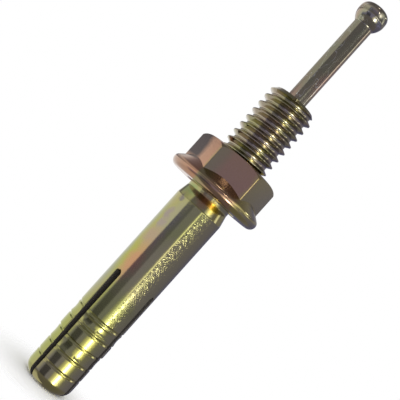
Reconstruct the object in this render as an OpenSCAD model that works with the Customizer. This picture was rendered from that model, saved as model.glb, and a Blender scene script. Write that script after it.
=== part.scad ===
// Hammer drive anchor, standing on its tail.
// The body is one piece of steel: a threaded stud at the top, a straight shank and a split sleeve
// at the bottom. A pin stands proud of the stud. Hammered down, it spreads the legs of the sleeve.
// All sizes are millimetres, +Z runs from the tail to the head and the origin is under the tail.

/* [Shank] */
// Diameter of the straight shank, three eighths of an inch
shank_d = 9.5; // [8:0.1:12]
// Height of the shank's upper end above the tail
shank_l = 39.1; // [34:0.1:44]
// Length of the body from the tail to the top of the stud
body_l = 63.6; // [60:0.1:90]
// Diameter of the neck under the nut
neck_d = 8.6; // [8.4:0.1:9]
// Height of the conical shoulder between the shank and the neck
shoulder_h = 2.1; // [1:0.1:2.4]

/* [Sleeve] */
// Number of rings rolled round the tail
ring_count = 5; // [3:1:6]
// Distance from one ring to the next
ring_pitch = 2.65; // [2:0.05:3]
// Height of the lowest ring above the tail
ring_first = 3.9; // [3:0.1:5]
// Width of the groove at a ring
ring_w = 0.6; // [0.3:0.05:1]
// Depth of the groove at a ring
ring_depth = 0.14; // [0.05:0.01:0.3]
// Depth of the shallow waist in the band under the top ring
waist_depth = 0.12; // [0.05:0.01:0.3]
// Diameter of the lowest bands, next to the tail
tail_d = 9.2; // [7.9:0.1:9.5]
// Height of the rounded edge at the tail
tail_round_h = 1.9; // [0.5:0.1:2.4]
// Width of the rounded edge at the tail
tail_round_w = 1.55; // [0.5:0.05:2]
// Length of the slots, from the tail to their round ends
slot_l = 22.9; // [18:0.1:30]
// Width of the slots at their round ends
slot_w = 1.35; // [0.8:0.05:2]
// Width of the slots at the tail, where the legs are pressed together
slot_tail_w = 0.85; // [0.5:0.05:2]
// Angle of the first slot round the axis, from the front
slot_angle = -40; // [-90:1:90]
// Turn from the first slot to the second, the third is midway in the rest
slot_turn = 106; // [90:1:140]

/* [Thread] */
// Outer diameter of the thread
thread_d = 9.4; // [9:0.1:9.6]
// Pitch of the thread, sixteen to the inch
thread_pitch = 1.5875; // [1:0.0005:2]
// Depth of the thread
thread_depth = 0.8; // [0.5:0.05:0.9]
// Bevel at the top of the stud
stud_bevel = 0.85; // [0.5:0.05:1.2]
// Height of the thread's foot above the nut's underside
thread_foot = 0.32; // [0.3:0.01:2]
// Length over which the thread runs out into the neck
thread_run_out = 1.6; // [0.8:0.1:3]

/* [Nut] */
// Height of the nut's underside above the tail
nut_z = 42; // [42:0.1:48]
// Height of the nut with its flange
nut_h = 8; // [6:0.1:10]
// Width of the hexagon across its flats
nut_af = 14; // [13:0.1:15]
// Height of the rounding on the hexagon's upper corners
nut_round_h = 1.4; // [0.5:0.1:2]
// Outer diameter of the flange
flange_d = 18.4; // [17:0.1:20]
// Radius of the rounded lower edge of the flange
rim_round = 1.2; // [0.4:0.1:1.4]
// Radius of the rounded upper edge of the flange
rim_top_round = 0.9; // [0.4:0.1:1.4]
// Slope of the flange's upper side, in degrees
flange_slope = 39; // [20:1:45]
// Gap between the thread and the nut's bore
nut_gap = 0.08; // [0.04:0.01:0.3]

/* [Pin] */
// Diameter of the pin
pin_d = 3.66; // [3:0.02:4]
// How far the pin's head stands above the stud before it is driven
drive_travel = 17.6; // [10:0.1:20]
// Height of the driven pin's tip above the tail
pin_stop_z = 2; // [1.5:0.1:4]
// Largest diameter of the pin's head
head_d = 5.54; // [5:0.02:7]
// Height of the pin's head
head_h = 4; // [3:0.1:5]
// Height of the head's widest place, as a share of the head's height
head_belly = 0.5; // [0.3:0.05:0.7]
// Diameter of the flat top of the head
head_flat_d = 2.4; // [0.5:0.1:3.6]
// Gap between the pin and its bore
pin_gap = 0.05; // [0.03:0.01:0.2]
// Diameter of the narrow bore between the legs
throat_d = 2.4; // [1.6:0.1:3]
// Length of the cone from the bore down to the narrow bore
throat_h = 2.2; // [1:0.1:4]

/* [Hidden] */

round_fn = 96;
// Step of the angle along rounded edges
arc_step = 15;
cut_over = 1;

shank_r = shank_d / 2;
neck_r = neck_d / 2;
tail_r = tail_d / 2;
thread_r = thread_d / 2;
bore_r = pin_d / 2 + pin_gap;

// Rings, numbered from the tail
ring_z = [for (i = [0 : ring_count - 1]) ring_first + i * ring_pitch];
// From this ring up the shank has its full diameter
full_ring = ring_count - 3;
waist_steps = 6;

// Slots round the axis, measured from the front, which faces -Y
slot_angles = [slot_angle, slot_angle + slot_turn, slot_angle + 180 + slot_turn / 2];

// Threaded length of the stud
thread_z = nut_z + thread_foot;
thread_l = body_l - thread_z;
thread_fn = 36;
crest_w = thread_pitch / 8;
flank_w = thread_depth * tan(30);
// Start of the first turn above the bottom of the thread
thread_lead = 0.1;
// The thread's foot is a ledge a little wider than the round neck that it stands on
foot_ledge = 0.06;
foot_r = neck_r + foot_ledge;
// One turn of the profile: height along the pitch, and 0 for the root or 1 for the crest
thread_profile = [
    [0, 0],
    [flank_w, 1],
    [flank_w + crest_w, 1],
    [2 * flank_w + crest_w, 0]
];
profile_n = len(thread_profile);
turns = ceil((thread_l - thread_lead) / thread_pitch) - 1;
// Least height between two points of a column, where the top of the stud cuts the last turn
top_step = 0.03;

// Hexagon and flange of the nut
nut_corner_r = nut_af / 2 / cos(30);
nut_bore_r = thread_r + nut_gap;
countersink = 0.5;
// Radius inside which the nut's top is flat
nut_flat_r = nut_af / 2 - 0.8;
// Radius at which the rounding of the corners would end, a little outside the corners
nut_round_r = nut_corner_r + 0.07;
flange_r = flange_d / 2;
// How far the cone of the flange reaches into the hexagon
cone_overlap = 0.6;

// Pin at rest and its parts
head_z = body_l + drive_travel;
pin_tip_z = pin_stop_z + drive_travel;
pin_r = pin_d / 2;
head_r = head_d / 2;
tip_taper = 1.2;
tip_r = pin_r * 0.6;
// Exponents of the head's outline under and over its widest place, where 2 is an ellipse
low_power = 1.8;
high_power = 2.8;
head_steps = 8;
// Room under the pin's tip, above the cone of the bore
tip_room = 0.5;
throat_z = pin_tip_z - tip_room;

// Points of a band between two heights that dips inwards between them
function waist(r, z0, z1, depth) = [
    for (k = [1 : waist_steps - 1])
        let (t = k / waist_steps)
        [r - depth * sin(180 * t), z0 + t * (z1 - z0)]
];

// Points of a V-groove at height z, in a surface that has radius r0 below it and r1 above it
function groove(r0, r1, z) = [
    [r0, z - ring_w / 2],
    [min(r0, r1) - ring_depth, z],
    [r1, z + ring_w / 2]
];

// Radius of the band that lies above ring i; -1 is the band at the tail
function band_r(i) = i >= full_ring ? shank_r : tail_r;

// Waist of the band above ring i: one under the top ring, and half of it where the shank widens
function band_waist(i) =
    i == ring_count - 2 ? waist_depth :
    i == full_ring - 1 ? waist_depth / 2 :
    0;

module shank_outline() {
    rings = [
        for (i = [0 : ring_count - 1])
            each concat(
                groove(band_r(i - 1), band_r(i), ring_z[i]),
                band_waist(i) > 0
                    ? waist(band_r(i), ring_z[i] + ring_w / 2, ring_z[i + 1] - ring_w / 2,
                            band_waist(i))
                    : []
            )
    ];
    tail = [
        for (a = [-90 : arc_step : 0])
            [tail_r - tail_round_w + tail_round_w * cos(a), tail_round_h * (1 + sin(a))]
    ];
    polygon(concat(
        [[0, 0]],
        tail,
        rings,
        [
            [shank_r, shank_l],
            [neck_r, shank_l + shoulder_h],
            [neck_r, thread_z],
            [0, thread_z]
        ]
    ));
}

// Height of point k of the thread in column i
function thread_row_z(i, k, rows) =
    k == 0 ? thread_z :
    k == rows - 1 ? body_l :
    let (
        turn = floor((k - 1) / profile_n),
        p = thread_profile[(k - 1) % profile_n],
        z = thread_z + thread_lead + thread_pitch * (turn + i / thread_fn) + p[0]
    )
    min(z, body_l - top_step * (rows - 1 - k));

// Radius of the same point: run out into the neck below, cut by the bevel above
function thread_row_r(k, rows, z) =
    k == 0 ? foot_r :
    k == rows - 1 ? thread_r - stud_bevel :
    let (
        full = thread_r - thread_depth * (1 - thread_profile[(k - 1) % profile_n][1]),
        share = min(1, (z - thread_z) / thread_run_out)
    )
    min(foot_r + share * (full - foot_r), thread_r - stud_bevel + body_l - z);

// Right-hand thread: columns of points round the axis, each a little higher than the last
module threaded_stud() {
    rows = turns * profile_n + 2;
    last = thread_fn - 1;
    points = [
        for (i = [0 : last], k = [0 : rows - 1])
            let (
                z = thread_row_z(i, k, rows),
                r = thread_row_r(k, rows, z),
                a = 360 * i / thread_fn
            )
            [r * cos(a), r * sin(a), z]
    ];
    // Two triangles for each step up between neighbouring columns
    sides = [
        for (i = [0 : last - 1], k = [0 : rows - 2])
            let (p = i * rows + k, q = p + rows)
            each [[p, p + 1, q + 1], [p, q + 1, q]]
    ];
    // The last column meets the first one a whole turn higher
    left = last * rows;
    seam = [
        for (k = [1 : rows - 3 - profile_n])
            let (p = left + k, q = k + profile_n)
            each [[p, p + 1, q + 1], [p, q + 1, q]]
    ];
    seam_foot = concat(
        [[left, left + 1, 0]],
        [for (k = [0 : profile_n]) [left + 1, k + 1, k]]
    );
    seam_top = concat(
        [for (k = [rows - 2 - profile_n : rows - 2]) [left + k, left + k + 1, rows - 2]],
        [[left + rows - 1, rows - 1, rows - 2]]
    );
    foot = [[for (i = [0 : last]) i * rows]];
    top = [[for (i = [0 : last]) (last - i) * rows + rows - 1]];
    polyhedron(points, concat(sides, seam, seam_foot, seam_top, foot, top), convexity = 8);
}

// Stepped bore for the pin, from the top of the stud down to the narrow bore between the legs
module pin_bore() {
    rotate_extrude($fn = round_fn)
        polygon([
            [0, -cut_over],
            [throat_d / 2, -cut_over],
            [throat_d / 2, throat_z - throat_h],
            [bore_r, throat_z],
            [bore_r, body_l + cut_over],
            [0, body_l + cut_over]
        ]);
}

// One slot, cut from the outside into the bore, narrower at the tail and round at the top
module slot(a) {
    round_z = slot_l - slot_w / 2;
    rotate([0, 0, a - 90])
        rotate([90, 0, 90])
            linear_extrude(height = shank_r + cut_over)
                union() {
                    polygon([
                        [-slot_tail_w / 2, -cut_over],
                        [slot_tail_w / 2, -cut_over],
                        [slot_w / 2, round_z],
                        [-slot_w / 2, round_z]
                    ]);
                    translate([0, round_z])
                        circle(d = slot_w, $fn = 48);
                }
}

// Body: split sleeve, shank, neck and threaded stud in one piece, bored from end to end
module anchor_body() {
    color("#9c9257")
        difference() {
            union() {
                rotate_extrude($fn = round_fn) shank_outline();
                threaded_stud();
            }
            pin_bore();
            for (a = slot_angles) slot(a);
        }
}

// Half of the flange: flat below, rounded at the rim, with a cone that ends inside the hexagon
module flange_outline() {
    rim_low = [
        for (a = [-90 : arc_step : 0])
            [flange_r - rim_round + rim_round * cos(a), rim_round + rim_round * sin(a)]
    ];
    // The upper rounding ends where the cone goes on at the same slope
    rim_end = 90 - flange_slope;
    rim_high = [
        for (k = [1 : 4])
            let (a = rim_end * k / 4)
            [flange_r - rim_top_round + rim_top_round * cos(a), rim_round + rim_top_round * sin(a)]
    ];
    rim_top = rim_high[3];
    cone_r = nut_af / 2 - cone_overlap;
    cone_z = rim_top[1] + (rim_top[0] - cone_r) * tan(flange_slope);
    polygon(concat([[0, 0]], rim_low, rim_high, [[cone_r, cone_z], [0, cone_z]]));
}

// Turned space that the hexagon fills, with a rounding that takes off its upper corners
module hexagon_limit() {
    corners = [
        for (a = [0 : arc_step : 90])
            [
                nut_flat_r + (nut_round_r - nut_flat_r) * cos(a),
                nut_h - nut_round_h + nut_round_h * sin(a)
            ]
    ];
    polygon(concat([[0, 0], [nut_round_r, 0]], corners, [[0, nut_h]]));
}

// Nut: hexagon with rounded corners standing on a conical flange, one piece
module flange_nut() {
    color("#7d6f5c")
        translate([0, 0, nut_z])
            difference() {
                union() {
                    rotate_extrude($fn = round_fn) flange_outline();
                    intersection() {
                        translate([0, 0, rim_round])
                            cylinder(r = nut_corner_r, h = nut_h - rim_round, $fn = 6);
                        rotate_extrude($fn = round_fn) hexagon_limit();
                    }
                }
                rotate_extrude($fn = round_fn)
                    polygon([
                        [0, -cut_over],
                        [nut_bore_r + countersink + cut_over, -cut_over],
                        [nut_bore_r, countersink],
                        [nut_bore_r, nut_h - countersink],
                        [nut_bore_r + countersink + cut_over, nut_h + cut_over],
                        [0, nut_h + cut_over]
                    ]);
            }
}

// Pin: round rod with a tapered tip and a barrel-shaped head with a flat top
module drive_pin() {
    belly_z = head_z + head_h * head_belly;
    // Angles at which the head's outline meets the pin below and its flat top above
    low_end = acos(pow(pin_r / head_r, low_power / 2));
    high_end = acos(pow(head_flat_d / head_d, high_power / 2));
    low = (belly_z - head_z) / pow(sin(low_end), 2 / low_power);
    high = (head_z + head_h - belly_z) / pow(sin(high_end), 2 / high_power);
    head_low = [
        for (k = [0 : head_steps - 1])
            let (a = low_end * (1 - k / head_steps))
            [head_r * pow(cos(a), 2 / low_power), belly_z - low * pow(sin(a), 2 / low_power)]
    ];
    head_high = [
        for (k = [0 : head_steps])
            let (a = high_end * k / head_steps)
            [head_r * pow(cos(a), 2 / high_power), belly_z + high * pow(sin(a), 2 / high_power)]
    ];
    color("#6e6753")
        rotate_extrude($fn = round_fn)
            polygon(concat(
                [[0, pin_tip_z], [tip_r, pin_tip_z], [pin_r, pin_tip_z + tip_taper]],
                head_low,
                head_high,
                [[0, head_z + head_h]]
            ));
}

anchor_body();
flange_nut();
drive_pin();
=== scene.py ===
import math

import bmesh
import bpy
from bpy.props import FloatProperty, FloatVectorProperty, IntProperty, PointerProperty
from mathutils import Matrix, Vector


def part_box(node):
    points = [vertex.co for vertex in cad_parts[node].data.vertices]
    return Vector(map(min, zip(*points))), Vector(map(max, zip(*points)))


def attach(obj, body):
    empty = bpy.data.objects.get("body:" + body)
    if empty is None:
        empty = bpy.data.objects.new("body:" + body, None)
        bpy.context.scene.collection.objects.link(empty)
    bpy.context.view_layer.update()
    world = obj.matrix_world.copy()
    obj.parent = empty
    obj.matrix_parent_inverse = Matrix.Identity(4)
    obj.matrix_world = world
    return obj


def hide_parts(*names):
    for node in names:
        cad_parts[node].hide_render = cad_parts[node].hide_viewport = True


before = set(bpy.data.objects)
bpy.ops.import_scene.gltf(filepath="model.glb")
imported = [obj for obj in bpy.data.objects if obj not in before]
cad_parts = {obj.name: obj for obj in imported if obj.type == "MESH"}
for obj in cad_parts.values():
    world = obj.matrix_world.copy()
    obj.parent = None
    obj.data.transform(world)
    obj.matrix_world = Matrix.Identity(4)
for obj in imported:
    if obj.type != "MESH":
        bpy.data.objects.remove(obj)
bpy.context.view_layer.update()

bl_info = {
    "name": "Hammer Drive Anchor",
    "version": (1, 0, 0),
    "blender": (4, 5, 0),
    "location": "3D View > Sidebar > Anchor",
    "description": "Models a hammer drive anchor in yellow zinc, with its studio",
    "category": "Object",
}

MM = 0.001
BODY_LOW, BODY_HIGH = [Vector(corner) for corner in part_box("anchor_body")]
NUT_LOW, NUT_HIGH = [Vector(corner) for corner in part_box("flange_nut")]
PIN_LOW, PIN_HIGH = [Vector(corner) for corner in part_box("drive_pin")]


def linear(hex_code):
    """Linear red, green and blue of an sRGB hex colour."""
    channels = [int(hex_code[i:i + 2], 16) / 255 for i in (1, 3, 5)]
    return tuple(c / 12.92 if c <= 0.04045 else ((c + 0.055) / 1.055) ** 2.4 for c in channels)


def length(name, description, value):
    """A size of the anchor, in metres."""
    return FloatProperty(
        name=name, description=description, subtype="DISTANCE", unit="LENGTH",
        default=value, precision=5)


class AnchorSize(bpy.types.PropertyGroup):
    """Sizes of the body, the nut and the pin."""

    shank_d: length("Shank diameter", "Diameter of the straight shank", 9.5 * MM)
    shank_top: length("Shank top", "Height at which the shoulder starts", 39.1 * MM)
    shoulder: length("Shoulder", "Height of the conical shoulder", 2.1 * MM)
    neck_d: length("Neck diameter", "Diameter of the neck under the nut", 8.6 * MM)
    tail_d: length("Tail diameter", "Diameter of the lowest bands", 9.2 * MM)
    tail_round: length("Tail rounding", "Height of the rounded edge at the tail", 1.9 * MM)
    tail_flat_d: length("Tail flat", "Diameter of the flat end of the tail", 6.1 * MM)
    ring_first: length("First ring", "Height of the lowest ring", 3.9 * MM)
    ring_pitch: length("Ring pitch", "Distance from one ring to the next", 2.65 * MM)
    ring_width: length("Ring width", "Width of the groove at a ring", 0.6 * MM)
    ring_depth: length("Ring depth", "Depth of the groove at a ring", 0.14 * MM)
    waist: length("Waist", "Depth of the dip in the band under the top ring", 0.12 * MM)
    slot_top: length("Slot length", "Length of the slots from the tail", 22.9 * MM)
    slot_width: length("Slot width", "Width of the slots at their round ends", 1.35 * MM)
    slot_tail: length("Slot at the tail", "Width of the slots at the tail", 0.85 * MM)
    thread_d: length("Thread diameter", "Outer diameter of the thread", 9.4 * MM)
    thread_pitch: length("Thread pitch", "Sixteen turns to the inch", 1.5875 * MM)
    thread_depth: length("Thread depth", "Depth of the thread", 0.8 * MM)
    stud_bevel: length("Stud bevel", "Bevel at the top of the stud", 0.85 * MM)
    hexagon: length("Hexagon", "Width of the nut across its flats", 14 * MM)
    pin_d: length("Pin diameter", "Diameter of the drive pin", 3.66 * MM)
    head_height: length("Head height", "Height of the pin's head", 4 * MM)
    rings: IntProperty(
        name="Rings", description="Number of rings round the tail", default=5, min=4, max=6)


class AnchorFinish(bpy.types.PropertyGroup):
    """Colours and surface of the plated steel."""

    body_color: FloatVectorProperty(
        name="Body", description="Yellow zinc of the stud, the shank and the sleeve",
        subtype="COLOR", size=3, min=0, max=1, default=linear("#aea672"))
    nut_color: FloatVectorProperty(
        name="Nut", description="Bronze zinc of the flange nut",
        subtype="COLOR", size=3, min=0, max=1, default=linear("#b0906f"))
    pin_color: FloatVectorProperty(
        name="Pin", description="Grey-brown zinc of the drive pin",
        subtype="COLOR", size=3, min=0, max=1, default=linear("#a29983"))
    patch_size: FloatProperty(
        name="Patch size", description="Size of the patches in the chromate",
        subtype="DISTANCE", min=0.001, max=0.03, default=9 * MM)


class AnchorStudio(bpy.types.PropertyGroup):
    """Camera of the studio."""

    camera_distance: FloatProperty(
        name="Camera distance", description="From the camera to the anchor's axis",
        subtype="DISTANCE", min=0.08, max=1, default=142.2 * MM)
    camera_height: FloatProperty(
        name="Camera height", description="Height of the camera above the tail",
        subtype="DISTANCE", min=0, max=0.1, default=37.24 * MM)
    aim_height: FloatProperty(
        name="Aim height", description="Height of the point that the camera looks at",
        subtype="DISTANCE", min=0, max=0.1, default=40.39 * MM)
    aim_side: FloatProperty(
        name="Aim sideways", description="How far the point looked at lies to the right of the axis",
        subtype="DISTANCE", min=-0.02, max=0.02, default=-0.9 * MM)
    lean: FloatProperty(
        name="Lean", description="Slope of the anchor's axis in the picture",
        subtype="ANGLE", min=0, max=math.pi, default=math.radians(48.05))
    lens: FloatProperty(
        name="Lens", description="Focal length on a sensor 36 mm wide",
        min=20, max=200, default=75.24)


SUPPORT = 0.1 * MM


def supported(profile):
    """Add points near the ends of long straight parts, so that they shade straight."""
    points = [profile[0]]
    for start, end in zip(profile, profile[1:]):
        span = math.dist(start, end)
        if span > 6 * SUPPORT:
            for share in (SUPPORT / span, 1 - SUPPORT / span):
                points.append(tuple(a + (b - a) * share for a, b in zip(start, end)))
        points.append(end)
    return points


def turned(profile, segments=160):
    """A solid of revolution from points (radius, height), with flat ends."""
    mesh = bmesh.new()
    verts = [mesh.verts.new((radius, 0, height)) for radius, height in supported(profile)]
    edges = [mesh.edges.new(pair) for pair in zip(verts, verts[1:])]
    bmesh.ops.spin(
        mesh, geom=verts + edges, axis=(0, 0, 1), cent=(0, 0, 0), dvec=(0, 0, 0),
        angle=2 * math.pi, steps=segments, use_merge=True)
    bmesh.ops.holes_fill(mesh, edges=mesh.edges)
    bmesh.ops.recalc_face_normals(mesh, faces=mesh.faces)
    return mesh


def rounded(center, radii, start, end, steps):
    """Points of an elliptic arc, with its angles in degrees."""
    points = []
    for step in range(steps + 1):
        angle = math.radians(start + (end - start) * step / steps)
        points.append((
            center[0] + radii[0] * math.cos(angle), center[1] + radii[1] * math.sin(angle)))
    return points


def as_object(mesh, name):
    """Turn a bmesh into an object at the origin."""
    data = bpy.data.meshes.new(name)
    mesh.to_mesh(data)
    mesh.free()
    piece = bpy.data.objects.new(name, data)
    bpy.context.scene.collection.objects.link(piece)
    return piece


def enlarged(mesh):
    """Scale a mesh from metres to millimetres, because booleans fail on tiny edges."""
    bmesh.ops.scale(mesh, vec=(1 / MM,) * 3, verts=mesh.verts)
    return mesh


def combine(piece, mesh, operation):
    """Join, cut or trim an enlarged piece with a mesh."""
    tool = as_object(enlarged(mesh), "tool")
    modifier = piece.modifiers.new("combine", "BOOLEAN")
    modifier.operation = operation
    modifier.solver = "EXACT"
    modifier.object = tool
    depsgraph = bpy.context.evaluated_depsgraph_get()
    data = bpy.data.meshes.new_from_object(piece.evaluated_get(depsgraph))
    piece.modifiers.clear()
    old = piece.data
    piece.data = data
    bpy.data.meshes.remove(old)
    data.name = piece.name
    tool_data = tool.data
    bpy.data.objects.remove(tool)
    bpy.data.meshes.remove(tool_data)


def finish_shape(piece, sharp_from, flat_area):
    """Bring an enlarged piece back to its size, clean its mesh and shade it smooth.

    Edges sharper than an angle in degrees stay sharp, and so do those round large flat faces.
    """
    mesh = bmesh.new()
    mesh.from_mesh(piece.data)
    bmesh.ops.scale(mesh, vec=(MM,) * 3, verts=mesh.verts)
    bmesh.ops.remove_doubles(mesh, verts=mesh.verts, dist=0.001 * MM)
    bmesh.ops.dissolve_degenerate(mesh, edges=mesh.edges, dist=0.001 * MM)
    bmesh.ops.recalc_face_normals(mesh, faces=mesh.faces)
    for face in mesh.faces:
        face.smooth = True
    for edge in mesh.edges:
        flat = any(face.calc_area() > flat_area for face in edge.link_faces)
        edge.smooth = not flat and edge.calc_face_angle(0) < math.radians(sharp_from)
    mesh.to_mesh(piece.data)
    mesh.free()


THREAD_Z = NUT_LOW.z + 0.32 * MM
THREAD_LEAD = 0.1 * MM
RUN_OUT = 1.6 * MM
THREAD_FLANK = 30
BORE_GAP = 0.05 * MM
BORE_EDGE = 0.15 * MM
THROAT_D = 2.4 * MM
THROAT_Z = PIN_LOW.z - 0.5 * MM
THROAT_CONE = 2.2 * MM
SLOT_ANGLES = (-40, 66, 193)
SLOT_EDGE_TOP = 0.13 * MM
SLOT_EDGE_TAIL = 0.25 * MM
SLOT_START = -0.8 * MM
SLOT_CLEAR = 0.02 * MM
SLOT_WALL_IN = 0.55 * MM
OVERCUT = 0.5 * MM
FLARE = 1 * MM
EDGE = 0.07 * MM


def shank_profile(size):
    """Outline of the sleeve, the shank, the shoulder and the neck."""
    shank = size.shank_d / 2
    neck = size.neck_d / 2
    tail = size.tail_d / 2
    flat = size.tail_flat_d / 2
    points = rounded((flat, size.tail_round), (tail - flat, size.tail_round), -90, 0, 12)
    half = size.ring_width / 2
    for ring in range(size.rings):
        height = size.ring_first + ring * size.ring_pitch
        below = tail if ring <= size.rings - 3 else shank
        above = tail if ring < size.rings - 3 else shank
        bottom = min(below, above) - size.ring_depth
        points += [
            (below, height - half - EDGE),
            (below - EDGE / 6, height - half + EDGE / 2),
            (bottom + EDGE / 6, height - EDGE),
            (bottom, height),
            (bottom + EDGE / 6, height + EDGE),
            (above - EDGE / 6, height + half - EDGE / 2),
            (above, height + half + EDGE),
        ]
        # The band under the top ring is waisted, and the second band from below a little
        dip = {size.rings - 2: size.waist, size.rings - 4: size.waist / 2}.get(ring, 0)
        if dip:
            start = height + half
            span = size.ring_pitch - size.ring_width
            points += [
                (above - dip * math.sin(math.pi * step / 8), start + span * step / 8)
                for step in range(1, 8)]
    shoulder_top = size.shank_top + size.shoulder
    points += [
        (shank, size.shank_top - EDGE),
        (shank - EDGE / 4, size.shank_top + EDGE),
        (neck + EDGE / 4, shoulder_top - EDGE),
        (neck, shoulder_top + EDGE),
        (neck, THREAD_Z),
        (neck - 1 * MM, THREAD_Z),
        (neck - 1 * MM, THREAD_Z + 1 * MM),
    ]
    return points


def threaded_stud(size, columns=96):
    """The stud with its right-hand thread, spun upwards by one pitch in one turn."""
    low = THREAD_Z - 0.03 * MM
    high = BODY_HIGH.z + 0.3 * MM
    crest = size.thread_d / 2
    root = crest - size.thread_depth
    pitch = size.thread_pitch
    flank = size.thread_depth * math.tan(math.radians(THREAD_FLANK))
    flat = pitch / 8
    soft = 0.04 * MM
    # Outline of one turn: rise along the axis, and share of the thread's depth
    turn = (
        (-soft, 0.0), (soft, 0.06), (flank - soft, 0.93), (flank + soft / 2, 1.0),
        (flank + flat / 2, 1.0), (flank + flat - soft / 2, 1.0), (flank + flat + soft, 0.93),
        (2 * flank + flat - soft, 0.06), (2 * flank + flat + soft, 0.0))
    start = THREAD_Z + THREAD_LEAD - 2 * pitch
    turns = math.ceil((high - start) / pitch) + 1
    mesh = bmesh.new()
    verts = [
        mesh.verts.new((root + share * size.thread_depth, 0, start + pitch * index + rise))
        for index in range(turns) for rise, share in turn]
    edges = [mesh.edges.new(pair) for pair in zip(verts, verts[1:])]
    bmesh.ops.spin(
        mesh, geom=verts + edges, axis=(0, 0, 1), cent=(0, 0, 0), dvec=(0, 0, pitch / columns),
        angle=2 * math.pi, steps=columns, use_merge=False)
    bmesh.ops.remove_doubles(mesh, verts=mesh.verts, dist=0.002 * MM)
    # The thread runs out into the neck at its foot
    foot = size.neck_d / 2 + 0.01 * MM
    for vert in mesh.verts:
        radius = math.hypot(vert.co.x, vert.co.y)
        share = min(1, max(0, (vert.co.z - THREAD_Z) / RUN_OUT))
        wanted = foot + share * (radius - foot)
        vert.co.x *= wanted / radius
        vert.co.y *= wanted / radius
    for height, side in ((low, -1), (high, 1)):
        bmesh.ops.bisect_plane(
            mesh, geom=mesh.verts[:] + mesh.edges[:] + mesh.faces[:], dist=0.0005 * MM,
            plane_co=(0, 0, height), plane_no=(0, 0, side), clear_outer=True)
        rim = [edge for edge in mesh.edges if edge.is_boundary
               and abs(edge.verts[0].co.z - height) < 0.002 * MM
               and abs(edge.verts[1].co.z - height) < 0.002 * MM]
        bmesh.ops.contextual_create(mesh, geom=rim)
    bmesh.ops.recalc_face_normals(mesh, faces=mesh.faces)
    return mesh


def stud_limit(size):
    """Turned shape that gives the stud its bevelled top."""
    top = BODY_HIGH.z
    crest = size.thread_d / 2
    return [
        (crest + 1 * MM, -1 * MM), (crest + 1 * MM, top - size.stud_bevel - 1 * MM),
        (crest - size.stud_bevel, top)]


def slot_prism(mesh, size, angle):
    """Add the tool of one slot to a mesh: a prism with a round top that flares at the mouth."""
    round_z = size.slot_top - size.slot_width / 2
    radius = size.slot_width / 2
    foot = size.slot_tail / 2 - SLOT_CLEAR
    outline = [(foot, -1 * MM), *rounded((0, round_z), (radius, radius), 0, 180, 24),
               (-foot, -1 * MM)]
    old = set(mesh.verts)
    verts = [mesh.verts.new((across, SLOT_START, height)) for across, height in outline]
    pushed = bmesh.ops.extrude_face_region(mesh, geom=[mesh.faces.new(verts)])["geom"]
    for vert in pushed:
        if isinstance(vert, bmesh.types.BMVert):
            tail = vert.co.z < 0
            vert.co.y = (SLOT_EDGE_TAIL if tail else SLOT_EDGE_TOP) - size.shank_d / 2
    mouth = [item for item in pushed if not isinstance(item, bmesh.types.BMVert)]
    flared = bmesh.ops.extrude_face_region(mesh, geom=mouth)["geom"]
    for vert in flared:
        if isinstance(vert, bmesh.types.BMVert):
            middle = Vector((0, min(vert.co.z, round_z)))
            out = (Vector((vert.co.x, vert.co.z)) - middle).normalized() * FLARE
            vert.co += Vector((out.x, -FLARE, out.y))
    made = [vert for vert in mesh.verts if vert not in old]
    bmesh.ops.rotate(
        mesh, verts=made, cent=(0, 0, 0), matrix=Matrix.Rotation(math.radians(angle), 3, "Z"))


def slot_tools(size):
    """Tool that cuts all the slots, open towards the bore and the tail."""
    mesh = bmesh.new()
    for angle in SLOT_ANGLES:
        slot_prism(mesh, size, angle)
    bmesh.ops.recalc_face_normals(mesh, faces=mesh.faces)
    return mesh


def bore_profile(size):
    """Stepped bore for the pin with a broken edge at the top of the stud."""
    bore = size.pin_d / 2 + BORE_GAP
    top = BODY_HIGH.z
    return [
        (THROAT_D / 2, -1 * MM),
        (THROAT_D / 2, THROAT_Z - THROAT_CONE),
        (bore, THROAT_Z),
        (bore, top - BORE_EDGE),
        (bore + BORE_EDGE, top),
        (bore + BORE_EDGE + OVERCUT, top + OVERCUT),
    ]


class ANCHOR_OT_make_body(bpy.types.Operator):
    """Make the threaded stud, the shank and the split sleeve, one piece of steel"""

    bl_idname = "anchor.make_body"
    bl_label = "Make the body"

    def execute(self, context):
        size = context.scene.anchor_size
        finish = context.scene.anchor_finish
        piece = as_object(enlarged(turned(shank_profile(size))), "zinc_body")
        combine(piece, slot_tools(size), "DIFFERENCE")
        combine(piece, threaded_stud(size), "UNION")
        combine(piece, turned(stud_limit(size)), "INTERSECT")
        combine(piece, turned(bore_profile(size), segments=96), "DIFFERENCE")
        finish_shape(piece, sharp_from=40, flat_area=8 * MM * MM)
        piece.data.materials.append(yellow_zinc(finish))
        piece.data.materials.append(sawn_walls_painted_shade())
        # Faces inside the slots and the bore take the second material, whose dark colour is painted
        # shade
        for face in piece.data.polygons:
            reach = math.hypot(face.center.x, face.center.y)
            in_slot = reach < size.shank_d / 2 - SLOT_WALL_IN and face.center.z < THREAD_Z
            in_bore = reach < size.pin_d / 2 + BORE_GAP
            inside = (in_slot or in_bore) and abs(face.normal.z) < 0.5
            # The edges of the slot on the right take the walls' dark material too: painted shade
            # along that side
            sideways = abs(face.normal.y * face.center.x - face.normal.x * face.center.y) / reach
            painted_shade_edge = sideways > 0.3 and face.center.x > 3 * MM and face.center.z < size.slot_top
            face.material_index = 1 if inside or painted_shade_edge else 0
        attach(piece, "anchor")
        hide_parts("anchor_body")
        return {"FINISHED"}


RIM_ROUND = 1.2 * MM
RIM_TOP_ROUND = 0.9 * MM
FLANGE_SLOPE = 39
CORNER_ROUND = 1.4 * MM
CORNER_START = 0.8 * MM
CORNER_CLEAR = 0.07 * MM
UPRIGHT_EDGE = 0.2 * MM
NUT_BORE_GAP = 0.08 * MM
COUNTERSINK = 0.5 * MM


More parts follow.
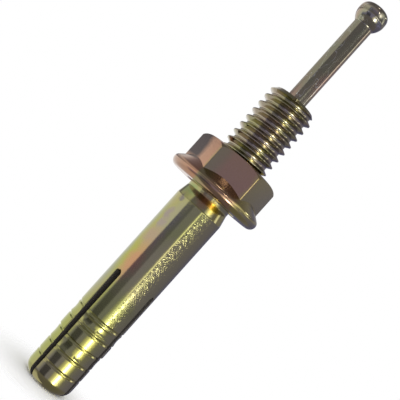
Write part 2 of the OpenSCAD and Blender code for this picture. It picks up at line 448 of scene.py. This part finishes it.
def flange_profile(size):
    """Flange with a rounded rim and a cone that ends inside the hexagon."""
    radius = NUT_HIGH.x
    low = NUT_LOW.z
    points = rounded((radius - RIM_ROUND, low + RIM_ROUND), (RIM_ROUND, RIM_ROUND), -90, 0, 14)
    points += rounded(
        (radius - RIM_TOP_ROUND, low + RIM_ROUND), (RIM_TOP_ROUND, RIM_TOP_ROUND),
        0, 90 - FLANGE_SLOPE, 8)[1:]
    edge_r, edge_z = points[-1]
    inner = size.hexagon / 2 - 0.6 * MM
    top = edge_z + (edge_r - inner) * math.tan(math.radians(FLANGE_SLOPE))
    points += [(inner, top)]
    return points


def hexagon_block(size):
    """Hexagon with softened upright edges, its corners on the left and right."""
    corner = size.hexagon / 2 / math.cos(math.radians(30))
    low = NUT_LOW.z + RIM_ROUND
    mesh = bmesh.new()
    bmesh.ops.create_circle(mesh, cap_ends=True, segments=6, radius=corner)
    first = min(mesh.verts, key=lambda vert: abs(vert.co.y) - vert.co.x)
    turn = -math.atan2(first.co.y, first.co.x)
    bmesh.ops.rotate(
        mesh, verts=mesh.verts, cent=(0, 0, 0), matrix=Matrix.Rotation(turn, 3, "Z"))
    bmesh.ops.translate(mesh, verts=mesh.verts, vec=(0, 0, low))
    pushed = bmesh.ops.extrude_face_region(mesh, geom=mesh.faces[:])
    moved = [item for item in pushed["geom"] if isinstance(item, bmesh.types.BMVert)]
    bmesh.ops.translate(mesh, verts=moved, vec=(0, 0, NUT_HIGH.z - low))
    upright = [edge for edge in mesh.edges
               if abs(edge.verts[0].co.z - edge.verts[1].co.z) > 1 * MM]
    bmesh.ops.bevel(
        mesh, geom=upright, offset=UPRIGHT_EDGE, offset_type="OFFSET", affect="EDGES", segments=3,
        profile=0.5, material=-1)
    bmesh.ops.recalc_face_normals(mesh, faces=mesh.faces)
    return mesh


def corner_limit(size):
    """Turned shape that rounds the hexagon's upper corners."""
    flat = size.hexagon / 2 - CORNER_START
    reach = size.hexagon / 2 / math.cos(math.radians(30)) + CORNER_CLEAR
    middle = NUT_HIGH.z - CORNER_ROUND
    return [
        (reach, NUT_LOW.z), *rounded((flat, middle), (reach - flat, CORNER_ROUND), 0, 90, 16)]


def nut_bore(size):
    """Bore of the nut with a countersink at both ends."""
    bore = size.thread_d / 2 + NUT_BORE_GAP
    wide = bore + COUNTERSINK + 1 * MM
    low = NUT_LOW.z
    high = NUT_HIGH.z
    return [
        (wide, low - 1 * MM), (bore, low + COUNTERSINK), (bore, high - COUNTERSINK),
        (wide, high + 1 * MM)]


class ANCHOR_OT_make_nut(bpy.types.Operator):
    """Make the hexagon nut with its flange"""

    bl_idname = "anchor.make_nut"
    bl_label = "Make the nut"

    def execute(self, context):
        size = context.scene.anchor_size
        finish = context.scene.anchor_finish
        piece = as_object(enlarged(hexagon_block(size)), "zinc_nut")
        combine(piece, turned(corner_limit(size)), "INTERSECT")
        combine(piece, turned(flange_profile(size)), "UNION")
        combine(piece, turned(nut_bore(size), segments=96), "DIFFERENCE")
        finish_shape(piece, sharp_from=24, flat_area=4 * MM * MM)
        piece.data.materials.append(bronze_zinc(finish))
        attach(piece, "nut")
        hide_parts("flange_nut")
        return {"FINISHED"}


LOW_POWER = 1.8
HIGH_POWER = 3.1
HEAD_FLAT_D = 2.6 * MM
TIP_TAPER = 1.2 * MM


def pin_profile(size):
    """Rod with a tapered tip and a barrel-shaped head with a flat top."""
    rod = size.pin_d / 2
    head = PIN_HIGH.x
    top = PIN_HIGH.z
    low = top - size.head_height
    middle = (top + low) / 2
    points = [
        (rod * 0.6, PIN_LOW.z), (rod - EDGE, PIN_LOW.z + TIP_TAPER - EDGE),
        (rod, PIN_LOW.z + TIP_TAPER + EDGE), (rod, low - EDGE)]
    low_end = math.acos((rod / head) ** (LOW_POWER / 2))
    low_reach = (middle - low) / math.sin(low_end) ** (2 / LOW_POWER)
    high_end = math.acos((HEAD_FLAT_D / 2 / head) ** (HIGH_POWER / 2))
    high_reach = (top - middle) / math.sin(high_end) ** (2 / HIGH_POWER)
    for step in range(1, 17):
        angle = low_end * (1 - step / 16)
        points.append((
            head * math.cos(angle) ** (2 / LOW_POWER),
            middle - low_reach * max(0, math.sin(angle)) ** (2 / LOW_POWER)))
    for step in range(1, 21):
        angle = high_end * step / 20
        points.append((
            head * math.cos(angle) ** (2 / HIGH_POWER),
            middle + high_reach * math.sin(angle) ** (2 / HIGH_POWER)))
    return points


class ANCHOR_OT_make_pin(bpy.types.Operator):
    """Make the drive pin with its head"""

    bl_idname = "anchor.make_pin"
    bl_label = "Make the pin"

    def execute(self, context):
        size = context.scene.anchor_size
        finish = context.scene.anchor_finish
        mesh = turned(pin_profile(size), segments=128)
        ends = [face for face in mesh.faces if len(face.verts) > 4]
        bmesh.ops.inset_region(mesh, faces=ends, thickness=SUPPORT)
        piece = as_object(enlarged(mesh), "steel_pin")
        finish_shape(piece, sharp_from=34, flat_area=8 * MM * MM)
        piece.data.materials.append(dark_zinc(finish))
        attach(piece, "pin")
        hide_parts("drive_pin")
        return {"FINISHED"}


def add_node(tree, kind, inputs=None, stops=(), **settings):
    """Add a shader node, set its properties and colour stops, and set or link its inputs."""
    node = tree.nodes.new(kind)
    for name, value in settings.items():
        setattr(node, name, value)
    for index, (place, color) in enumerate(stops):
        elements = node.color_ramp.elements
        stop = elements[index] if index < 2 else elements.new(place)
        stop.position = place
        stop.color = (*color, 1)
    for name, value in (inputs or {}).items():
        if isinstance(value, bpy.types.NodeSocket):
            tree.links.new(value, node.inputs[name])
        else:
            node.inputs[name].default_value = value
    return node


def new_material(name):
    """An empty material, its node tree, and the place on the piece."""
    material = bpy.data.materials.new(name)
    material.use_nodes = True
    tree = material.node_tree
    tree.nodes.clear()
    place = add_node(tree, "ShaderNodeTexCoord").outputs["Object"]
    return material, tree, place


def clouds(tree, place, size, stretch=1.0):
    """Soft clouds of a real size, shorter along the axis by a stretch above 1."""
    laid = add_node(
        tree, "ShaderNodeMapping",
        {"Vector": place, "Scale": (1 / size, 1 / size, stretch / size)}).outputs["Vector"]
    return add_node(
        tree, "ShaderNodeTexNoise",
        {"Vector": laid, "Scale": 1.0, "Detail": 3.0, "Roughness": 0.5}).outputs["Fac"]


def with_patches(tree, color, place, spots):
    """Soft patches of other colours on the wall, each at an angle, a height and of a size."""
    wobble = add_node(
        tree, "ShaderNodeTexNoise",
        {"Vector": place, "Scale": 1 / (1.5 * MM), "Detail": 3.0, "Roughness": 0.6})
    shift = add_node(
        tree, "ShaderNodeVectorMath",
        {0: wobble.outputs["Color"], 1: (0.5, 0.5, 0.5)}, operation="SUBTRACT")
    moved = add_node(
        tree, "ShaderNodeVectorMath",
        {0: shift.outputs["Vector"], 1: (1.6 * MM, 1.6 * MM, 2.4 * MM), 2: place},
        operation="MULTIPLY_ADD").outputs["Vector"]
    for angle, height, width, tall, tone in spots:
        turn = math.radians(angle)
        laid = add_node(
            tree, "ShaderNodeMapping",
            {"Vector": moved,
             "Location": (4.7 * MM * math.sin(turn), -4.7 * MM * math.cos(turn), height * MM),
             "Scale": (width * MM, width * MM, tall * MM)},
            vector_type="TEXTURE").outputs["Vector"]
        near = add_node(
            tree, "ShaderNodeTexGradient", {"Vector": laid}, gradient_type="SPHERICAL")
        share = add_node(
            tree, "ShaderNodeMapRange",
            {"Value": near.outputs["Fac"], "From Min": 0.0, "From Max": 0.8},
            interpolation_type="SMOOTHSTEP").outputs["Result"]
        color = add_node(
            tree, "ShaderNodeMix", {0: share, 6: color, 7: (*linear(tone), 1)},
            data_type="RGBA").outputs[2]
    return color


def plated_surface(tree, color, place, rough, relief=0.0):
    """Metallic shader of a slightly uneven plate, with the relief of its wear on top."""
    grain = add_node(
        tree, "ShaderNodeTexNoise",
        {"Vector": place, "Scale": 1 / (0.35 * MM), "Detail": 3.0, "Roughness": 0.6})
    height = add_node(
        tree, "ShaderNodeMath", {0: grain.outputs["Fac"], 1: 0.14, 2: relief},
        operation="MULTIPLY_ADD").outputs["Value"]
    bump = add_node(
        tree, "ShaderNodeBump", {"Height": height, "Strength": 1.0, "Distance": 0.03 * MM})
    roughness = add_node(
        tree, "ShaderNodeMapRange",
        {"Value": grain.outputs["Fac"], "From Min": 0.3, "From Max": 0.7,
         "To Min": rough * 0.85, "To Max": rough * 1.3})
    return add_node(
        tree, "ShaderNodeBsdfPrincipled",
        {"Base Color": color, "Metallic": 1.0, "Roughness": roughness.outputs["Result"],
         "Normal": bump.outputs["Normal"]}).outputs["BSDF"]


def tumbling_marks(tree, axes, radius):
    """Relief of short crossed scratches, worst on one side of the shank."""
    front = add_node(tree, "ShaderNodeMath", {0: axes["Y"], 1: -1.0}, operation="MULTIPLY")
    angle = add_node(
        tree, "ShaderNodeMath", {0: axes["X"], 1: front.outputs["Value"]}, operation="ARCTAN2")
    girth = add_node(
        tree, "ShaderNodeMath", {0: angle.outputs["Value"], 1: radius},
        operation="MULTIPLY").outputs["Value"]
    wall = add_node(
        tree, "ShaderNodeCombineXYZ", {"X": girth, "Y": axes["Z"], "Z": 0.0}).outputs["Vector"]
    marks = 0.0
    # Two sets of strokes: turn in degrees, width and length in millimetres
    for turn, width, reach in ((38, 0.24, 1.3), (-52, 0.22, 1.0)):
        laid = add_node(
            tree, "ShaderNodeMapping",
            {"Vector": wall, "Rotation": (0, 0, math.radians(turn)),
             "Scale": (width * MM, reach * MM, 1)}, vector_type="TEXTURE").outputs["Vector"]
        strokes = add_node(
            tree, "ShaderNodeTexNoise",
            {"Vector": laid, "Scale": 1.0, "Detail": 1.5, "Roughness": 0.6},
            noise_dimensions="2D")
        marks = add_node(
            tree, "ShaderNodeMath", {0: strokes.outputs["Fac"], 1: marks},
            operation="ADD").outputs["Value"]
    marks = add_node(
        tree, "ShaderNodeMapRange",
        {"Value": marks, "From Min": 1.05, "From Max": 1.3}).outputs["Result"]
    side = add_node(
        tree, "ShaderNodeMapRange",
        {"Value": girth, "From Min": -15 * MM, "From Max": 15 * MM}).outputs["Result"]
    worn_side = add_node(
        tree, "ShaderNodeValToRGB", {"Fac": side},
        ((0.531, (0.04,) * 3), (0.545, (1,) * 3), (0.592, (1,) * 3), (0.63, (0.1,) * 3)))
    level = add_node(
        tree, "ShaderNodeMapRange",
        {"Value": axes["Z"], "From Min": 0.0, "From Max": 64 * MM}).outputs["Result"]
    worn_level = add_node(
        tree, "ShaderNodeValToRGB", {"Fac": level},
        ((0.22, (0.12,) * 3), (0.26, (1,) * 3), (0.4, (0.9,) * 3), (0.6, (0.65,) * 3),
         (0.615, (0.05,) * 3)))
    worn = add_node(
        tree, "ShaderNodeMath",
        {0: worn_side.outputs["Color"], 1: worn_level.outputs["Color"]}, operation="MULTIPLY")
    depth = add_node(
        tree, "ShaderNodeMath", {0: worn.outputs["Value"], 1: 0.9}, operation="MULTIPLY")
    return add_node(
        tree, "ShaderNodeMath", {0: marks, 1: depth.outputs["Value"]},
        operation="MULTIPLY").outputs["Value"]


# Patches in the chromate of the body: angle round it from the front in degrees, height, width
# and length in millimetres, and colour
BODY_PATCHES = (
    (-76, 26, 3.4, 16, "#9fa287"),
    (-50, 28, 2.4, 10, "#adac5c"),
    (-30, 35, 2.2, 5.5, "#a6a17e"),
    (-38, 30.6, 2.8, 3.2, "#b09c80"),
    (-31, 25.6, 2.2, 5.4, "#c29670"),
    (-47, 35.2, 1.2, 1.5, "#a09488"),
    (-42, 33.4, 1.2, 1.6, "#a4988a"),
    (-45, 38.7, 1.2, 0.9, "#857e74"),
    (-48, 40.7, 3.0, 1.7, "#9aa66e"),
    (-3, 40.5, 2.2, 1.5, "#a88458"),
    (26, 40.6, 2.2, 1.4, "#c8ac38"),
    (-66, 8, 3.0, 12, "#a5a960"),
    (20, 7.5, 2.6, 11, "#b8b262"),
)


def yellow_zinc(finish):
    """Zinc plate on steel with a yellow chromate.

    The film is thin and uneven, so its hue wanders between yellow-green, straw and a pinkish tan,
    and it dried browner on the thread. Scratches from tumbling with the other anchors show where
    they catch the light.
    """
    material, tree, place = new_material("yellow_zinc")
    axes = add_node(tree, "ShaderNodeSeparateXYZ", {"Vector": place}).outputs
    hues = add_node(
        tree, "ShaderNodeValToRGB", {"Fac": clouds(tree, place, finish.patch_size, 0.7)},
        ((0.36, linear("#a6a664")), (0.5, finish.body_color), (0.66, linear("#b0a676"))))
    browns = add_node(
        tree, "ShaderNodeValToRGB", {"Fac": clouds(tree, place, 3 * MM)},
        ((0.36, linear("#9e9a6e")), (0.5, linear("#a39a7e")), (0.64, linear("#a89a86"))))
    threaded = add_node(
        tree, "ShaderNodeMapRange",
        {"Value": axes["Z"], "From Min": 42 * MM, "From Max": 46 * MM}).outputs["Result"]
    base = add_node(
        tree, "ShaderNodeMix",
        {0: threaded, 6: hues.outputs["Color"], 7: browns.outputs["Color"]},
        data_type="RGBA").outputs[2]
    color = with_patches(tree, base, place, BODY_PATCHES)
    relief = tumbling_marks(tree, axes, 4.75 * MM)
    surface = plated_surface(tree, color, place, 0.095, relief)
    add_node(tree, "ShaderNodeOutputMaterial", {"Surface": surface})
    return material


def sawn_walls_painted_shade():
    """Sawn walls of the slots and the bore, dull, and dark from painted shade in these recesses."""
    material, tree, place = new_material("sawn_walls_painted_shade")
    hues = add_node(
        tree, "ShaderNodeValToRGB", {"Fac": clouds(tree, place, 1.2 * MM)},
        ((0.3, linear("#4c4845")), (0.7, linear("#57524c"))))
    surface = add_node(
        tree, "ShaderNodeBsdfPrincipled",
        {"Base Color": hues.outputs["Color"], "Metallic": 0.1, "Roughness": 0.6})
    add_node(tree, "ShaderNodeOutputMaterial", {"Surface": surface.outputs["BSDF"]})
    return material


def bronze_zinc(finish):
    """Zinc plate with a heavier chromate than the body's.

    It dried from tan through olive and a brownish pink back to olive across the nut, with
    painted shade at its upper left corner.
    """
    material, tree, place = new_material("bronze_zinc")
    axes = add_node(tree, "ShaderNodeSeparateXYZ", {"Vector": place}).outputs
    drift = add_node(
        tree, "ShaderNodeMath",
        {0: clouds(tree, place, 2.5 * MM), 1: 1.0 * MM, 2: axes["X"]},
        operation="MULTIPLY_ADD").outputs["Value"]
    across = add_node(
        tree, "ShaderNodeMapRange",
        {"Value": drift, "From Min": -7.6 * MM, "From Max": 8.6 * MM}).outputs["Result"]
    hues = add_node(
        tree, "ShaderNodeValToRGB", {"Fac": across},
        ((0.0, linear("#b0907a")), (0.23, linear("#b98c70")), (0.262, linear("#a2976e")),
         (0.34, linear("#a3936e")), (0.42, finish.nut_color), (0.7, linear("#b08f70")),
         (0.765, linear("#b6a96a")), (1.0, linear("#aea478"))))
    # Painted shade: the nut's colour turns dark at its upper left corner
    corner = add_node(
        tree, "ShaderNodeMapRange",
        {"Value": drift, "From Min": -5.0 * MM, "From Max": -6.0 * MM}).outputs["Result"]
    upper = add_node(
        tree, "ShaderNodeMapRange",
        {"Value": axes["Z"], "From Min": 44.6 * MM, "From Max": 45.6 * MM}).outputs["Result"]
    painted_shade = add_node(
        tree, "ShaderNodeMath", {0: corner, 1: upper}, operation="MULTIPLY").outputs["Value"]
    color = add_node(
        tree, "ShaderNodeMix",
        {0: painted_shade, 6: hues.outputs["Color"], 7: (*linear("#4e4442"), 1)},
        data_type="RGBA").outputs[2]
    surface = plated_surface(tree, color, place, 0.15)
    add_node(tree, "ShaderNodeOutputMaterial", {"Surface": surface})
    return material


def dark_zinc(finish):
    """Thin zinc on hardened steel, greyer and browner than the body.

    A few hair-thin scratches wander along it.
    """
    material, tree, place = new_material("dark_zinc")
    hues = add_node(
        tree, "ShaderNodeValToRGB", {"Fac": clouds(tree, place, 4 * MM, 0.5)},
        ((0.36, linear("#989a82")), (0.5, finish.pin_color), (0.64, linear("#ac9484"))))
    hair = add_node(
        tree, "ShaderNodeMath", {0: clouds(tree, place, 2.2 * MM, 0.3), 1: 0.47, 2: 0.004},
        operation="COMPARE").outputs["Value"]
    color = add_node(
        tree, "ShaderNodeMix",
        {0: hair, 6: hues.outputs["Color"], 7: (*linear("#d2d0c6"), 1)},
        data_type="RGBA").outputs[2]
    surface = plated_surface(tree, color, place, 0.12)
    add_node(tree, "ShaderNodeOutputMaterial", {"Surface": surface})
    return material


# The studio as the metal mirrors it, in rings from the floor up. A ring has the height of the
# mirrored direction, where 1 is straight up, and stops with an angle in degrees from the camera,
# positive to the right, the light that comes from there, where 1 is white, and its tint. White
# cards and lamps are white, the room's lower walls bluish and its upper walls nearly grey. The
# nut and the thread each mirror one ring from its lower to its upper height.
CARD = (1.0, 1.0, 1.0)
WALL = (0.56, 0.56, 1.0)
SHADE = (0.88, 0.85, 1.0)
NUT_RING = (
    (-180, 1.0, CARD), (-54, 1.0, CARD), (-49, 0.5, WALL), (-24, 0.6, WALL), (-14, 0.74, WALL),
    (13, 0.74, WALL), (24, 0.8, CARD), (34, 2.4, CARD), (50, 2.4, CARD), (60, 0.7, CARD),
    (68, 0.5, WALL), (180, 0.45, WALL))
THREAD_RING = (
    (-180, 0.28, SHADE), (-100, 0.28, SHADE), (-90, 0.72, CARD), (-50, 0.72, CARD),
    (-42, 0.33, SHADE), (22, 0.36, SHADE), (27, 1.5, CARD), (31, 1.5, CARD), (35, 0.42, SHADE),
    (67, 0.38, SHADE), (71, 1.2, CARD), (75, 1.2, CARD), (79, 0.38, SHADE), (180, 0.26, SHADE))
STUDIO = (
    (-0.75, (
        (-180, 0.3, SHADE), (-167, 0.3, SHADE), (-161, 0.8, CARD), (-60, 0.8, CARD),
        (-50, 0.22, SHADE), (180, 0.22, SHADE))),
    (-0.45, (
        (-180, 0.8, CARD), (-92, 0.8, CARD), (-80, 0.25, SHADE), (180, 0.25, SHADE))),
    (-0.34, (
        (-180, 1.0, CARD), (-92, 1.0, CARD), (-80, 0.62, WALL), (-47, 0.6, WALL),
        (-43, 0.12, WALL), (-16, 0.12, WALL), (-11, 0.6, WALL), (4, 0.6, WALL), (9, 0.6, CARD),
        (19, 1.1, CARD), (29, 4.0, CARD), (36, 18.0, CARD), (43, 4.0, CARD), (53, 1.1, CARD),
        (60, 0.6, CARD), (66, 0.5, WALL), (110, 0.4, WALL), (150, 0.25, WALL),
        (180, 0.2, WALL))),
    (-0.16, (
        (-180, 1.0, CARD), (-88, 1.0, CARD), (-62, 0.8, CARD), (-51, 0.6, WALL),
        (-45, 0.2, WALL), (-18, 0.2, WALL), (-12, 0.6, WALL), (4, 0.6, WALL), (9, 0.6, CARD),
        (19, 1.1, CARD), (29, 3.0, CARD), (36, 13.0, CARD), (43, 3.0, CARD), (53, 1.1, CARD),
        (60, 0.6, CARD), (66, 0.5, WALL), (110, 0.4, WALL), (150, 0.25, WALL),
        (180, 0.2, WALL))),
    (-0.1, (
        (-180, 1.0, CARD), (-57, 1.0, CARD), (-51, 0.34, WALL), (-20, 0.34, WALL),
        (-15, 0.6, WALL), (13, 0.6, WALL), (17.5, 0.7, CARD), (20.5, 2.4, CARD),
        (23.5, 0.6, CARD), (27, 0.55, WALL), (58, 0.52, WALL), (110, 0.42, WALL),
        (150, 0.28, WALL), (180, 0.2, WALL))),
    (0.022, (
        (-180, 1.0, CARD), (-54, 1.0, CARD), (-50, 0.36, WALL), (-22, 0.36, WALL),
        (-17, 0.58, WALL), (13, 0.58, WALL), (17.5, 0.7, CARD), (20.5, 2.8, CARD),
        (23.5, 0.6, CARD), (27, 0.5, WALL), (110, 0.42, WALL), (150, 0.28, WALL),
        (180, 0.2, WALL))),
    (0.04, (
        (-180, 1.0, CARD), (-37, 1.0, CARD), (-31, 0.3, WALL), (14, 0.34, WALL),
        (22, 0.8, CARD), (32, 2.6, CARD), (50, 2.6, CARD), (62, 0.8, CARD), (70, 0.35, WALL),
        (180, 0.3, WALL))),
    (0.065, NUT_RING),
    (0.094, NUT_RING),
    (0.1, THREAD_RING),
    (0.175, THREAD_RING),
    (0.2, (
        (-180, 0.6, CARD), (-56, 0.6, CARD), (-50, 0.25, SHADE), (88, 0.26, SHADE),
        (94, 1.9, CARD), (101, 1.9, CARD), (107, 0.4, SHADE), (180, 0.4, SHADE))),
    (0.31, (
        (-180, 0.6, CARD), (-56, 0.6, CARD), (-50, 0.22, SHADE), (88, 0.22, SHADE),
        (95, 1.4, CARD), (101, 1.4, CARD), (107, 0.35, SHADE), (180, 0.35, SHADE))),
    (0.4, (
        (-180, 0.9, CARD), (-60, 0.9, CARD), (-50, 0.4, WALL), (24, 0.45, WALL),
        (36, 1.5, CARD), (48, 3.6, CARD), (60, 1.5, CARD), (72, 0.5, WALL), (86, 0.6, CARD),
        (90, 2.0, CARD), (94, 0.6, CARD), (110, 0.35, WALL), (180, 0.25, WALL))),
    (0.62, (
        (-180, 0.35, SHADE), (-80, 0.35, SHADE), (-60, 0.5, SHADE), (30, 0.4, SHADE),
        (56, 1.1, CARD), (78, 1.1, CARD), (96, 0.4, SHADE), (180, 0.25, SHADE))),
    (0.8, (
        (-180, 0.22, SHADE), (40, 0.22, SHADE), (60, 0.6, CARD), (90, 0.6, CARD),
        (110, 0.22, SHADE), (180, 0.22, SHADE))),
    (0.9, ((-180, 0.2, SHADE), (180, 0.2, SHADE))),
)
# Small lamps: angle from the camera, height angle and half width in degrees, and light
LAMPS = ((26, 34, 3.5, 14.0), (112, 38, 4.0, 9.0), (8, 82, 5.0, 6.0))


def light_the_world(scene):
    """White behind the object, a room with bright and dark sides in its reflections."""
    world = bpy.data.worlds.new("studio")
    scene.world = world
    world.use_nodes = True
    tree = world.node_tree
    tree.nodes.clear()
    direction = add_node(tree, "ShaderNodeTexCoord").outputs["Generated"]
    axes = add_node(tree, "ShaderNodeSeparateXYZ", {"Vector": direction}).outputs
    front = add_node(tree, "ShaderNodeMath", {0: axes["Y"], 1: -1.0}, operation="MULTIPLY")
    angle = add_node(
        tree, "ShaderNodeMath", {0: axes["X"], 1: front.outputs["Value"]}, operation="ARCTAN2")
    turn = add_node(
        tree, "ShaderNodeMapRange",
        {"Value": angle.outputs["Value"], "From Min": -math.pi,
         "From Max": math.pi}).outputs["Result"]
    below, room = None, None
    for height, stops in STUDIO:
        shades = [
            ((angle + 180) / 360, [light * part for part in tint])
            for angle, light, tint in stops]
        ring = add_node(tree, "ShaderNodeValToRGB", {"Fac": turn}, shades).outputs["Color"]
        if room is not None:
            share = add_node(
                tree, "ShaderNodeMapRange",
                {"Value": axes["Z"], "From Min": below, "From Max": height}).outputs["Result"]
            ring = add_node(
                tree, "ShaderNodeMix", {0: share, 6: room, 7: ring},
                data_type="RGBA").outputs[2]
        below, room = height, ring
    for angle, height, width, light in LAMPS:
        flat = math.cos(math.radians(height))
        towards = (
            flat * math.sin(math.radians(angle)), -flat * math.cos(math.radians(angle)),
            math.sin(math.radians(height)))
        near = add_node(
            tree, "ShaderNodeVectorMath", {0: direction, 1: towards},
            operation="DOT_PRODUCT").outputs["Value"]
        glow = add_node(
            tree, "ShaderNodeMapRange",
            {"Value": near, "From Min": math.cos(math.radians(width)),
             "From Max": math.cos(math.radians(width * 0.5)), "To Min": 0.0,
             "To Max": light}).outputs["Result"]
        room = add_node(
            tree, "ShaderNodeVectorMath", {0: room, 1: glow}, operation="ADD").outputs["Vector"]
    ray = add_node(tree, "ShaderNodeLightPath").outputs
    mirrored = add_node(
        tree, "ShaderNodeMath",
        {0: ray["Is Glossy Ray"], 1: ray["Is Transmission Ray"]}, operation="MAXIMUM")
    color = add_node(
        tree, "ShaderNodeMix", {0: mirrored.outputs["Value"], 6: (1, 1, 1, 1), 7: room},
        data_type="RGBA").outputs[2]
    background = add_node(tree, "ShaderNodeBackground", {"Color": color, "Strength": 1.0})
    add_node(tree, "ShaderNodeOutputWorld", {"Surface": background.outputs["Background"]})


def lay_floor():
    """A pale floor under the anchor that fades into the white room."""
    mesh = bmesh.new()
    bmesh.ops.create_circle(mesh, cap_ends=True, segments=96, radius=0.3)
    floor = as_object(mesh, "floor")
    material, tree, place = new_material("pale_floor")
    reach = add_node(
        tree, "ShaderNodeVectorMath", {0: place}, operation="LENGTH").outputs["Value"]
    fade = add_node(
        tree, "ShaderNodeMapRange",
        {"Value": reach, "From Min": 5 * MM, "From Max": 16 * MM},
        interpolation_type="SMOOTHSTEP").outputs["Result"]
    paper = add_node(
        tree, "ShaderNodeBsdfDiffuse", {"Color": (*linear("#fcfcfc"), 1)}).outputs["BSDF"]
    clear = add_node(tree, "ShaderNodeBsdfTransparent").outputs["BSDF"]
    mixed = add_node(tree, "ShaderNodeMixShader", {0: fade, 1: paper, 2: clear})
    add_node(tree, "ShaderNodeOutputMaterial", {"Surface": mixed.outputs["Shader"]})
    floor.data.materials.append(material)
    floor.visible_glossy = False


def place_camera(scene, studio):
    """Camera in front of the anchor, rolled so that the axis slopes up to the right."""
    data = bpy.data.cameras.new("camera")
    data.sensor_fit = "HORIZONTAL"
    data.sensor_width = 36.0
    data.lens = studio.lens
    data.clip_start = 5 * MM
    camera = bpy.data.objects.new("camera", data)
    scene.collection.objects.link(camera)
    position = Vector((0, -studio.camera_distance, studio.camera_height))
    aim = Vector((studio.aim_side, 0, studio.aim_height))
    back = (position - aim).normalized()
    # The picture's up direction lies between the anchor's axis and its left side
    upright = Vector((0, 0, 1)) - back * back.z
    upright.normalize()
    right = upright.cross(back)
    turn = math.pi / 2 - studio.lean
    up = upright * math.cos(turn) - right * math.sin(turn)
    side = up.cross(back)
    rotation = Matrix((side, up, back)).transposed()
    camera.matrix_world = Matrix.Translation(position) @ rotation.to_4x4()
    scene.camera = camera


class ANCHOR_OT_set_stage(bpy.types.Operator):
    """Set up the floor, the light and the camera"""

    bl_idname = "anchor.set_stage"
    bl_label = "Set the stage"

    def execute(self, context):
        scene = context.scene
        scene.view_settings.view_transform = "Standard"
        light_the_world(scene)
        lay_floor()
        place_camera(scene, scene.anchor_studio)
        return {"FINISHED"}


OPERATORS = (
    ANCHOR_OT_set_stage,
    ANCHOR_OT_make_body,
    ANCHOR_OT_make_nut,
    ANCHOR_OT_make_pin,
)


class VIEW3D_PT_anchor(bpy.types.Panel):
    """Sizes, colours and steps of the hammer drive anchor"""

    bl_label = "Hammer Drive Anchor"
    bl_space_type = "VIEW_3D"
    bl_region_type = "UI"
    bl_category = "Anchor"

    def draw(self, context):
        scene = context.scene
        for group in (scene.anchor_size, scene.anchor_finish, scene.anchor_studio):
            box = self.layout.box()
            for name in group.bl_rna.properties.keys():
                if name not in ("rna_type", "name"):
                    box.prop(group, name)
        for operator in OPERATORS:
            self.layout.operator(operator.bl_idname)


CLASSES = (AnchorSize, AnchorFinish, AnchorStudio, *OPERATORS, VIEW3D_PT_anchor)


def register():
    for cls in CLASSES:
        bpy.utils.register_class(cls)
    bpy.types.Scene.anchor_size = PointerProperty(type=AnchorSize)
    bpy.types.Scene.anchor_finish = PointerProperty(type=AnchorFinish)
    bpy.types.Scene.anchor_studio = PointerProperty(type=AnchorStudio)


def unregister():
    del bpy.types.Scene.anchor_studio
    del bpy.types.Scene.anchor_finish
    del bpy.types.Scene.anchor_size
    for cls in reversed(CLASSES):
        bpy.utils.unregister_class(cls)


def main():
    register()
    bpy.ops.anchor.set_stage()
    bpy.ops.anchor.make_body()
    bpy.ops.anchor.make_nut()
    bpy.ops.anchor.make_pin()


if __name__ == "__main__":
    main()
